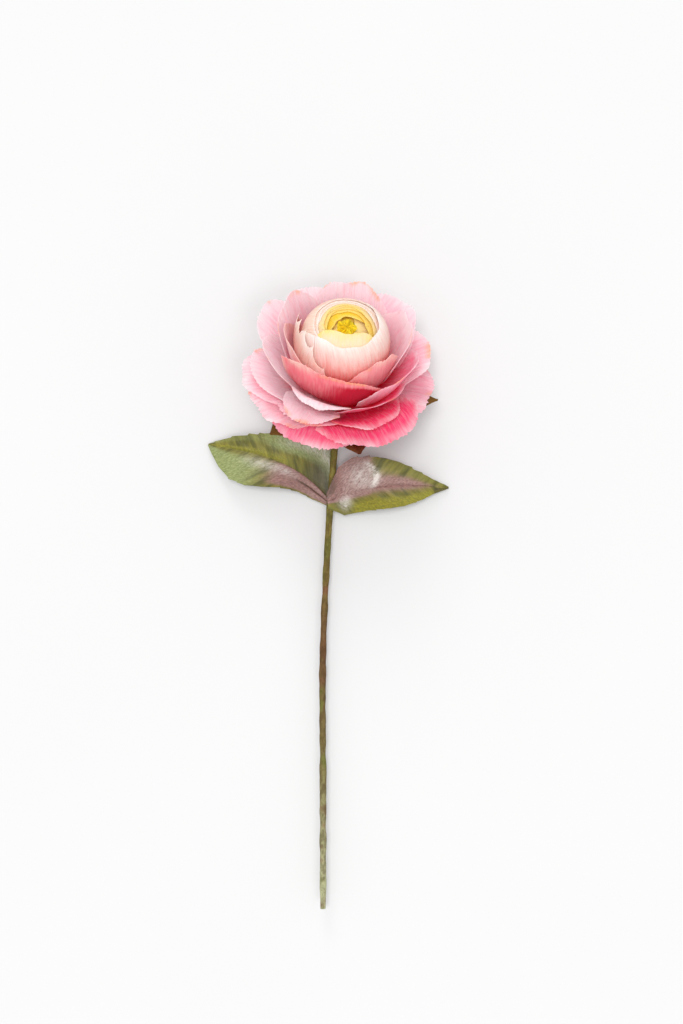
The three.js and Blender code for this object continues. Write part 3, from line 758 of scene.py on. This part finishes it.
def make_bud_petal(index, petal):
    u, v = grid(*BUD_GRID)
    radius = BUD_RADIUS - (len(BUD_PETALS) - 1 - index) * BUD_LAYER
    start = math.asin((PEG_NECK_RADIUS + GLUE_GAP) / radius)
    end = math.pi - math.asin(petal.opening / (radius + petal.press))
    heart = index in HEART_PETALS
    corner = np.where(v < 0, PEELED_CORNER if petal.peel else BUD_CORNER, BUD_CORNER)
    uneven = 0.006 * wander(v, BUD_CUT_SEED + index, 1, 5)
    uneven += 0.002 * wander(v, BUD_NICK_SEED + index, 16, 44)
    along = u * (1 - corner * np.abs(v) ** 6 + uneven * smooth(u, 0.5, 1))
    polar = mix(start, end, along)
    span = petal.span * mix(0.5, 1, smooth(along, 0, 0.5))
    angle = np.radians(petal.azimuth + v * span)
    lift = 0.01 * smooth(u, 0.6, 1) * wander(v, BUD_WAVE_SEED + index, 1, 4)
    lift += petal.press * smooth(polar, PRESS_START, PRESS_END)
    lift += petal.peel * smooth(u, 0.3, 1) * smooth(-v, 0.7, 1) ** 2
    ring = (radius + lift) * np.sin(polar)
    middle = round_axis(ring, angle, BUD_CENTRE - (radius + lift) * np.cos(polar))
    middle[..., 1] -= heart_lean(middle[..., 2], ring)
    across = ring * np.radians(v * span)
    length = radius * (end - start)
    edge = np.minimum((1 - u) * length, (1 - np.abs(v)) * ring * np.radians(span))
    # Deeper gold and peach towards the back: partly the dye, partly painted shade on the inner walls there
    tone = paleness(petal.azimuth)
    if tone > 0.5:
        edge = BACK_RIM * edge
        if heart:
            tone *= mix(1, CREAMY, smooth(index, 4, 8))
    if heart:
        dyed = along + (HEART_FADE if tone < 0.5 else 0)
    else:
        dyed = along - CREAM_BLUSH
    marks = cut_attributes(across, along * length, edge, dyed, tone, index)
    name = f"bud_petal_{index + 1}"
    paper = HEART_PAPER if heart else CREAM_PAPER
    slot = "heart_petal" if heart else "cream_petal"
    sheet_piece(f"crepe_{name}", lay(middle, HEAD_LIE), CREPE, marks, paper, slot, name)


def peg_radius(height):
    return mix(PEG_RADIUS, PEG_NECK_RADIUS, height / NECK_HEIGHT)


def profile_curve(base, belly, crest, rim, share):
    """Points and unit tangents of the curve from a petal's base to its rim, out from the axis and up it."""
    s = share[..., None]
    rest = 1 - s
    point = rest ** 3 * base + 3 * rest ** 2 * s * belly + 3 * rest * s ** 2 * crest + s ** 3 * rim
    run = 3 * rest ** 2 * (belly - base) + 6 * rest * s * (crest - belly) + 3 * s ** 2 * (rim - crest)
    return point, run / np.linalg.norm(run, axis=-1, keepdims=True)


def lean_back(ring, angle):
    """Open petals stand further off the bud at the back of the head than at its front."""
    return ring + CUP_LEAN * np.sin(angle) * smooth(ring, BUD_RADIUS, BUD_RADIUS + CUP_LEAN_RUN)


def make_open_petal(index, petal):
    u, v = grid(*OPEN_GRID)
    height = BUD_FOOT - (index + 1) * OPEN_STATION
    base = np.array([peg_radius(height) + GLUE_GAP, height])
    rim = np.array([petal.reach * BUD_RADIUS, BUD_FOOT + petal.rise * BUD_RADIUS])
    chord = np.linalg.norm(rim - base)
    pitch = math.radians(petal.pitch)
    belly = base + np.array([petal.belly * chord, 0])
    crest = rim - petal.crest * chord * np.array([math.cos(pitch), math.sin(pitch)])
    uneven = 0.009 * wander(v, OPEN_CUT_SEED + index, 1, 4)
    uneven += 0.004 * wander(v, OPEN_NICK_SEED + index, 14, 40)
    uneven += petal.fray * (0.5 - np.abs(np.sin(2.5 * math.pi * v + index)) ** 0.6)
    along = u * (1 - petal.corner * np.abs(v) ** 2.6 + petal.slant * v + uneven * smooth(u, 0.4, 1))
    point, tangent = profile_curve(base, belly, crest, rim, along)
    span = petal.span * mix(0.55, 1, smooth(along, 0, 0.55))
    grown = smooth(u, 0.1, 1)
    lift = grown * (petal.cup * v * v + petal.twist * v)
    lift += petal.ruffle * smooth(u, 0.5, 1) * wander(v, OPEN_WAVE_SEED + index, 1, 3)
    lift -= petal.curl * smooth(u, 0.8, 1) ** 2
    fold_line = mix(0.45, 0.05, u)
    lift -= petal.ridge * smooth(u, 0.15, 0.6) * np.maximum(0, 1 - np.abs(v - fold_line) / 0.4)
    angle = np.radians(petal.azimuth + v * span)
    ring = lean_back(point[..., 0] - tangent[..., 1] * lift, angle)
    middle = round_axis(ring, angle, point[..., 1] + tangent[..., 0] * lift)
    across = ring * np.radians(v * span)
    length = PETAL_SLACK * chord
    edge = np.minimum((1 - u) * length, (1 - np.abs(v)) * ring * np.radians(span))
    # Paler towards the back and left and by each petal's pale: partly the dye, partly painted light
    tone = min(1, max(0, paleness(petal.azimuth) + petal.pale))
    # Painted shade: the deep dye runs up one side of the fold and hides the pale rim there
    painted_shade_share = petal.flush * smooth(v, -0.5, 0.7) * smooth(1 - u, 0.02, 0.12)
    dyed = along + PALE_FADE * petal.pale - painted_shade_share
    edge = edge + RIM_COVER * (painted_shade_share + max(0, -petal.pale))
    if index < WISP_PETALS:
        dyed = dyed - CREAM_BLUSH
        paper, slot = CREAM_PAPER, "cream_petal"
    elif index < SALMON_PETALS:
        paper, slot = SALMON_PAPER, "salmon_petal"
    else:
        paper, slot = PINK_PAPER, "pink_petal"
    marks = cut_attributes(across, along * length, edge, dyed, tone, OPEN_GRAIN + index)
    name = f"open_petal_{index + 1}"
    sheet_piece(f"crepe_{name}", lay(middle, HEAD_LIE), CREPE, marks, paper, slot, name)


def make_sepal(index, sepal):
    u, v = grid(*SEPAL_GRID)
    base = np.array([peg_radius(SEPAL_STATION) + GLUE_GAP, SEPAL_STATION])
    tip = np.array([sepal.reach, BUD_FOOT + SEPAL_RISE])
    sag = np.array([0.5 * (base[0] + tip[0]), min(base[1], tip[1]) - SEPAL_SAG])
    s = u[..., None]
    point = (1 - s) ** 2 * base + 2 * (1 - s) * s * sag + s ** 2 * tip
    taper = 1 - smooth(u, 0.66, 1.04) ** 1.6
    half_width = SEPAL_HALF_WIDTH * mix(0.22, 1, smooth(u, 0, 0.5)) * taper
    ring = point[..., 0]
    angle = math.radians(sepal.azimuth) + v * half_width / ring
    wave = SEPAL_WAVE * wander(u, SEPAL_WAVE_SEED + index, 3, 8) * v
    middle = round_axis(ring, angle, point[..., 1] - SEPAL_CUP * v * v + wave)
    edge = np.minimum((1 - u) * sepal.reach, (1 - np.abs(v)) * half_width)
    marks = cut_attributes(v * half_width, u * sepal.reach, edge, u, sepal.tone, SEPAL_GRAIN + index)
    name = f"sepal_{index + 1}"
    sheet_piece(f"crepe_{name}", lay(middle, HEAD_LIE), CREPE, marks, SEPAL_PAPER, "sepal", name)


def make_core():
    """The ball and peg that the petals are glued to, with the blind hole for the wire."""
    bore = WIRE_RADIUS + GLUE_GAP
    bore_end = WIRE_DEPTH + GLUE_GAP
    polar = np.linspace(math.asin(PEG_NECK_RADIUS / CORE_RADIUS), math.pi, 20)[:-1]
    ball = np.stack([CORE_RADIUS * np.sin(polar), BUD_CENTRE - CORE_RADIUS * np.cos(polar)], axis=-1)
    profile = np.concatenate([[[bore, bore_end], [bore, 0], [PEG_RADIUS, 0]], ball])
    angle = np.linspace(0, TURN, CORE_SIDES, endpoint=False)
    height = np.broadcast_to(profile[:, 1:], (len(profile), CORE_SIDES))
    rings = round_axis(profile[:, :1], angle[None, :], height)
    place = np.stack([rings[..., 0], rings[..., 2], rings[..., 1]], axis=-1)
    marks = {"cut": place, "bloom": np.full_like(rings, 0.5)}
    skin_piece("pressed_core", lay(rings, HEAD_LIE), marks, CORE_PAPER, "core", "bud_core")


def make_tuft():
    """A scrap of paper crumpled into a cap, pleated towards its rim."""
    u, v = grid(*TUFT_GRID)
    angle = math.pi * v
    pleat = np.sin(3 * angle + 1 + 2 * np.sin(angle)) + 0.6 * np.sin(7 * angle - 3 * u)
    pleat += 0.5 * np.sin(12 * angle + 5 * u)
    ring = mix(0.2, TUFT_RADIUS, u) * (1 + 0.08 * u * np.sin(5 * angle + 2))
    height = TUFT_FOOT + mix(TUFT_CROWN, TUFT_RIM, u ** 1.5) + TUFT_PLEAT * smooth(u, 0, 0.5) * pleat
    middle = round_axis(ring, angle, height)
    middle[..., 0] -= TUFT_LEFT
    middle[..., 1] -= heart_lean(middle[..., 2], ring) + TUFT_FRONT
    edge = (1 - u) * TUFT_RADIUS
    marks = cut_attributes(TUFT_RADIUS * angle, u * TUFT_RADIUS, edge, mix(0.6, 1, u), 0.5, TUFT_GRAIN)
    sheet_piece("crumpled_tuft", lay(middle, HEAD_LIE), CREPE, marks, TUFT_PAPER, "tuft", "centre_tuft")


# Stem

def rounded_line(points, steps):
    """A smooth line through points, with the given steps between neighbours."""
    points = np.array([tuple(point) for point in points])
    ends = np.concatenate([[2 * points[0] - points[1]], points, [2 * points[-1] - points[-2]]])
    line = []
    for p0, p1, p2, p3 in zip(ends, ends[1:], ends[2:], ends[3:]):
        d0, d1, d2 = (math.sqrt(np.linalg.norm(b - a)) for a, b in ((p0, p1), (p1, p2), (p2, p3)))
        start = ((p1 - p0) / d0 - (p2 - p0) / (d0 + d1) + (p2 - p1) / d1) * d1
        end = ((p2 - p1) / d1 - (p3 - p1) / (d1 + d2) + (p3 - p2) / d2) * d1
        s = np.linspace(0, 1, steps, endpoint=False)[:, None]
        bend = s ** 2 * (3 * (p2 - p1) - 2 * start - end) + s ** 3 * (2 * (p1 - p2) + start + end)
        line.append(p1 + s * start + bend)
    return np.concatenate([*line, points[-1:]])


def line_frames(line):
    """Length along a line at each point, and two directions square to it that don't spin."""
    steps = np.linalg.norm(np.diff(line, axis=0), axis=1)
    length = np.concatenate([[0], np.cumsum(steps)])
    tangents = np.gradient(line, axis=0)
    tangents /= np.linalg.norm(tangents, axis=1, keepdims=True)
    side = np.array([1.0, 0.0, 0.0])
    sides = []
    for tangent in tangents:
        side = side - tangent * side.dot(tangent)
        side /= np.linalg.norm(side)
        sides.append(side)
    sides = np.array(sides)
    return length, sides, np.cross(tangents, sides)


def rings_on_line(line, sides, others, radius):
    """Rings of points round a line, with a radius for each ring and step round it."""
    angle = np.linspace(0, TURN, radius.shape[1], endpoint=False)
    spokes = np.cos(angle)[None, :, None] * sides[:, None] + np.sin(angle)[None, :, None] * others[:, None]
    return line[:, None] + radius[..., None] * spokes


STEM_LINE = rounded_line([
    (0, 0, 0), (0, 0, 0.5 * STEM_STRAIGHT), (0, 0, STEM_STRAIGHT),
    (0.6 * STEM_SWAY, 0, LEAF_JOINT_HEIGHT), (STEM_SWAY, 0, NOD_START),
    HEAD_BASE - NOD_LEAD * HEAD_AXIS, HEAD_BASE, HEAD_BASE + WIRE_DEPTH * HEAD_AXIS,
], STEM_STEPS)


def make_stem():
    """Tape wound up the wire from the foot, each turn lapping over the last."""
    length, sides, others = line_frames(STEM_LINE)
    wrapped = length <= length[-1] - WIRE_DEPTH - GLUE_GAP
    line, length, sides, others = STEM_LINE[wrapped], length[wrapped], sides[wrapped], others[wrapped]
    turns = np.linspace(0, 1, STEM_SIDES, endpoint=False)[None, :]
    up = length[:, None]
    foot = smooth(up, 0, STEM_FOOT_TAPER)
    lap = (up / TAPE_PITCH + turns) % 1
    radius = mix(STEM_FOOT_RADIUS, STEM_RADIUS, foot)
    radius = radius + foot * TAPE_LUMP * np.sin(up / 5) * np.sin(up / 13)
    radius = radius + TAPE_SWELL * np.exp(-((up - LEAF_JOINT_HEIGHT) / LEAF_JOINT_SPREAD) ** 2)
    radius = radius + foot * TAPE_STEP * (lap - 0.6)
    uneven = smooth(LEAF_JOINT_HEIGHT - up, 8, 24) * wander(up / STEM_STRAIGHT, STEM_SEED, 6, 24)
    radius = radius + foot * TAPE_UNEVEN * uneven
    outer = rings_on_line(line, sides, others, radius)
    bored = slice(BORE_FOOT, None)
    bore_radius = np.full(radius[bored].shape, WIRE_RADIUS + BORE_SLACK)
    bore = rings_on_line(line[bored], sides[bored], others[bored], bore_radius)
    rings = np.concatenate([outer, bore[::-1]])
    around = TURN * STEM_RADIUS * np.broadcast_to(turns, outer.shape[:2])
    marks = np.stack([around, np.broadcast_to(up, around.shape), lap], axis=-1)
    cut = np.concatenate([marks, marks[bored][::-1]])
    skin_piece("wound_stem", lay(rings, STEM_LIE), {"cut": cut}, STEM_TAPE, "stem_tape", "stem_wrap")


# Leaves

def leaf_axes(leaf):
    heading = math.radians(leaf.heading)
    along = np.array([math.cos(heading), 0, math.sin(heading)])
    towards = np.array([0, -1, 0])
    across = np.cross(along, towards)
    return along, towards, across if across[2] > 0 else -across


def unfurled(share):
    """Leaves lie flat where they are taped on and cup further out."""
    return smooth(share, 0.1, 0.45)


def midrib(leaf, share):
    """Points of the midrib: bowed upwards in the leaf's plane and arched towards the face."""
    along, towards, across = leaf_axes(leaf)
    joint = STEM_LINE[np.argmin(np.abs(STEM_LINE[:, 2] - LEAF_JOINT_HEIGHT))]
    clear = STEM_RADIUS + LEAF_JOINT_SWELL + TAPE_LUMP + GLUE_GAP
    start = (1 - leaf.behind) * LEAF_LAP
    back = mix(-(1 - smooth(share, 0, 0.16)), 1, leaf.behind) * (clear + 0.5 * LEAF_PAPER)
    rise = 4 * share * (1 - share)
    run = start + share * (leaf.length - start)
    bow = leaf.bow * leaf.length * rise * (1 - 0.5 * share)
    arch = leaf.arch * (rise * unfurled(share) - 0.5 * share) - back
    return joint + run[..., None] * along + bow[..., None] * across + arch[..., None] * towards


def leaf_masks(leaf, u, v):
    """Where the sage, mauve and yellow washes, the painted silvery sheen and the painted shade lie on each
    leaf.
    """
    if leaf.side == "left":
        sage = smooth(u, 0.7, 0.4) * smooth(v, 0.25, 0.55)
        sage += 0.75 * smooth(u, 0.4, 0.75) * smooth(v, 0, -0.35)
        sage += 0.35 * smooth(u, 0.4, 0.65) * smooth(v, 0.4, 0.75)
        mauve = smooth(u, 0.62, 0.34) * smooth(v, 0.04, -0.1) * smooth(v, -1.05, -0.75)
        yellow = 0.55 * smooth(v, 0.4, 0.15) * smooth(v, -0.1, 0.05) * smooth(u, 0.25, 0.5)
        # Painted sheen below the midrib and near the base
        painted_sheen = 0.6 * smooth(u, 0.25, 0.4) * smooth(u, 0.8, 0.55) * np.exp(-((v + 0.25) / 0.16) ** 2)
        painted_sheen += 0.75 * smooth(u, 0.6, 0.3) * smooth(v, 0.45, 0.75)
        # Painted shade along the crease beside the midrib and near the stem
        shade = smooth(u, 0.34, 0.24) * np.exp(-((v + 0.42) / 0.07) ** 2)
        shade += smooth(u, 0.42, 0.12) * smooth(v, -0.12, 0.02) * smooth(v, 0.75, 0.35)
    else:
        sage = 0.2 * smooth(u, 0.5, 0.8) * smooth(v, 0.3, 0.6)
        mauve = np.exp(-((v - 0.08) / 0.34) ** 2) * smooth(u, 1.05, 0.6)
        mauve = np.maximum(mauve, smooth(u, 0.48, 0.3) * smooth(v, -0.5, -0.1))
        yellow = smooth(v, -0.35, -0.75) * smooth(u, 0.1, 0.3)
        bend = u - 0.42 + 0.3 * (v - 0.35) ** 2
        # Painted sheen: a bright arc and silvery patches
        painted_sheen = np.exp(-(bend / 0.03) ** 2) * smooth(v, -0.15, 0.15) * smooth(v, 0.95, 0.6)
        painted_sheen += 0.8 * np.exp(-((u - 0.31) / 0.1) ** 2 - ((v - 0.4) / 0.35) ** 2)
        painted_sheen += np.exp(-((u - 0.14) / 0.05) ** 2 - ((v + 0.4) / 0.3) ** 2)
        # A dark strip at the curled tip, and painted shade at the base above the stem
        shade = smooth(u, 0.84, 0.9) * smooth(v, -0.1, -0.5)
        shade += 0.6 * smooth(u, 0.14, 0.05) * smooth(v, 0.1, 0.5)
    return sage, mauve, yellow, painted_sheen, shade


def make_leaf(index, leaf):
    u, v = grid(*LEAF_GRID)
    _, towards, across = leaf_axes(leaf)
    steps = np.linspace(0, 1, len(leaf.upper))
    upper, lower = np.interp(u, steps, leaf.upper), np.interp(u, steps, leaf.lower)
    half = np.where(v > 0, upper, lower) * leaf.length
    place = LEAF_TEETH * u + 0.35 * wander(u, LEAF_STEP_SEED + index, 2, 5)
    tooth = LEAF_TOOTH * ((place % 1) ** 1.5 - 0.4) * smooth(u, 0.06, 0.14) * smooth(u, 1, 0.93)
    tooth = tooth * np.clip(0.5 + 0.6 * wander(u, LEAF_CUT_SEED + index, 2, 6), 0.1, 1)
    tooth = tooth * np.where(v > 0, 1, 0.4)
    half = half + tooth * np.abs(v) ** 4
    wave = LEAF_WAVE * np.sin(9 * u + 2 * v) * v * v
    fold = leaf.fold * unfurled(u) * np.abs(v) * np.sin(math.pi * np.minimum(u + 0.1, 1))
    vein = LEAF_VEIN * np.sin(TURN * (LEAF_VEINS * u - LEAF_VEIN_SLOPE * np.abs(v)))
    vein = vein * np.sqrt(np.abs(v)) * (1 - np.abs(v))
    crease = -LEAF_CREASE * np.exp(-(v / 0.05) ** 2) * smooth(u, 1, 0.7)
    if leaf.behind:
        crease -= LEAF_SIDE_CREASE * np.exp(-((v + 0.42) / 0.08) ** 2) * smooth(u, 0.36, 0.2)
    relief = wave + fold + vein + crease
    middle = midrib(leaf, u) + (v * half)[..., None] * across + relief[..., None] * towards
    sage, mauve, yellow, painted_sheen, shade = leaf_masks(leaf, u, v)
    sloped = u * leaf.length - 0.8 * np.abs(v * half)
    marks = {
        "cut": np.stack([sloped, v * half, np.full_like(u, LEAF_GRAIN_STEP * index)], axis=-1),
        "bloom": np.stack([sage, mauve, yellow], axis=-1),
        "sheen_and_shade": np.stack([painted_sheen, shade, np.zeros_like(u)], axis=-1),
    }
    name = f"{leaf.side}_leaf"
    sheet_piece(f"toothed_{name}", lay(middle, STEM_LIE), LEAF_PAPER, marks, LEAF_TINT, "leaf", name)
    make_leaf_wire(leaf)


def make_leaf_wire(leaf):
    towards = leaf_axes(leaf)[1]
    drop = LEAF_PAPER / 2 + LEAF_CREASE + 0.5 * GLUE_GAP + LEAF_WIRE_RADIUS
    share = np.linspace(LEAF_WIRE_START * (1 - leaf.behind), LEAF_WIRE_END, 40)
    line = midrib(leaf, share) - drop * towards
    _, sides, others = line_frames(line)
    radius = np.full((len(line), LEAF_WIRE_SIDES), LEAF_WIRE_RADIUS)
    rings = rings_on_line(line, sides, others, radius)
    name = f"{leaf.side}_leaf_wire"
    skin_piece(f"smooth_{name}", lay(rings, STEM_LIE), {}, WIRE, "wire", name)


# Stage

def make_floor():
    """A wide pale floor under the flower."""
    mesh = bpy.data.meshes.new("floor")
    signs = [(-1, -1), (1, -1), (1, 1), (-1, 1)]
    corners = [(across * FLOOR_HALF, along * FLOOR_HALF, 0) for across, along in signs]
    mesh.from_pydata(corners, [], [(0, 1, 2, 3)])
    material, tree, shader = new_material("pale floor")
    place = put(tree, "TexCoord").outputs["Object"]
    cloud = noise(tree, place, 6.0, 2.0)
    set_surface(tree, shader, {
        "Base Color": blend(tree, cloud, *map(paint, FLOOR_GREY)),
        "Roughness": 0.9,
        "Specular IOR Level": 0.1,
    })
    mesh.materials.append(material)
    floor = bpy.data.objects.new("floor", mesh)
    floor.location.z = -FLOOR_DROP
    bpy.context.scene.collection.objects.link(floor)


def make_light():
    """Even light all round, with soft lamps overhead, beyond the head and towards the foot."""
    world = bpy.data.worlds.new("studio")
    bpy.context.scene.world = world
    world.use_nodes = True
    background = world.node_tree.nodes["Background"]
    background.inputs["Color"].default_value = (1, 1, 1, 1)
    background.inputs["Strength"].default_value = WORLD_STRENGTH
    for name, energy, direction in LAMPS:
        lamp = bpy.data.lights.new(name, "SUN")
        lamp.energy = energy
        lamp.angle = math.radians(LAMP_BREADTH)
        holder = bpy.data.objects.new(name, lamp)
        bpy.context.scene.collection.objects.link(holder)
        holder.rotation_mode = "QUATERNION"
        holder.rotation_quaternion = Vector(direction).to_track_quat("Z", "Y")


def make_camera():
    data = bpy.data.cameras.new("camera")
    data.lens = CAMERA_LENS
    data.clip_end = CAMERA_CLIP
    camera = bpy.data.objects.new("camera", data)
    bpy.context.scene.collection.objects.link(camera)
    place = Matrix.Translation((CAMERA_RIGHT, -CAMERA_FORWARD, CAMERA_HEIGHT))
    lie = STEM_LIE @ place @ Matrix.Rotation(math.radians(90), 4, "X")
    lie.translation *= MM
    camera.matrix_world = lie
    bpy.context.scene.camera = camera


make_core()
make_tuft()
for number, bud_petal in enumerate(BUD_PETALS):
    make_bud_petal(number, bud_petal)
for number, one_petal in enumerate(OPEN_PETALS):
    make_open_petal(number, one_petal)
for number, one_sepal in enumerate(SEPALS):
    make_sepal(number, one_sepal)
make_stem()
for number, one_leaf in enumerate(LEAVES):
    make_leaf(number, one_leaf)

# The stem's wire is a plain solid, and is shown as it is
frame["nodes"]["stem_wire"].data.materials.clear()
frame["nodes"]["stem_wire"].data.materials.append(WIRE)

make_floor()
make_light()
make_camera()
bpy.context.scene.view_settings.view_transform = "Standard"
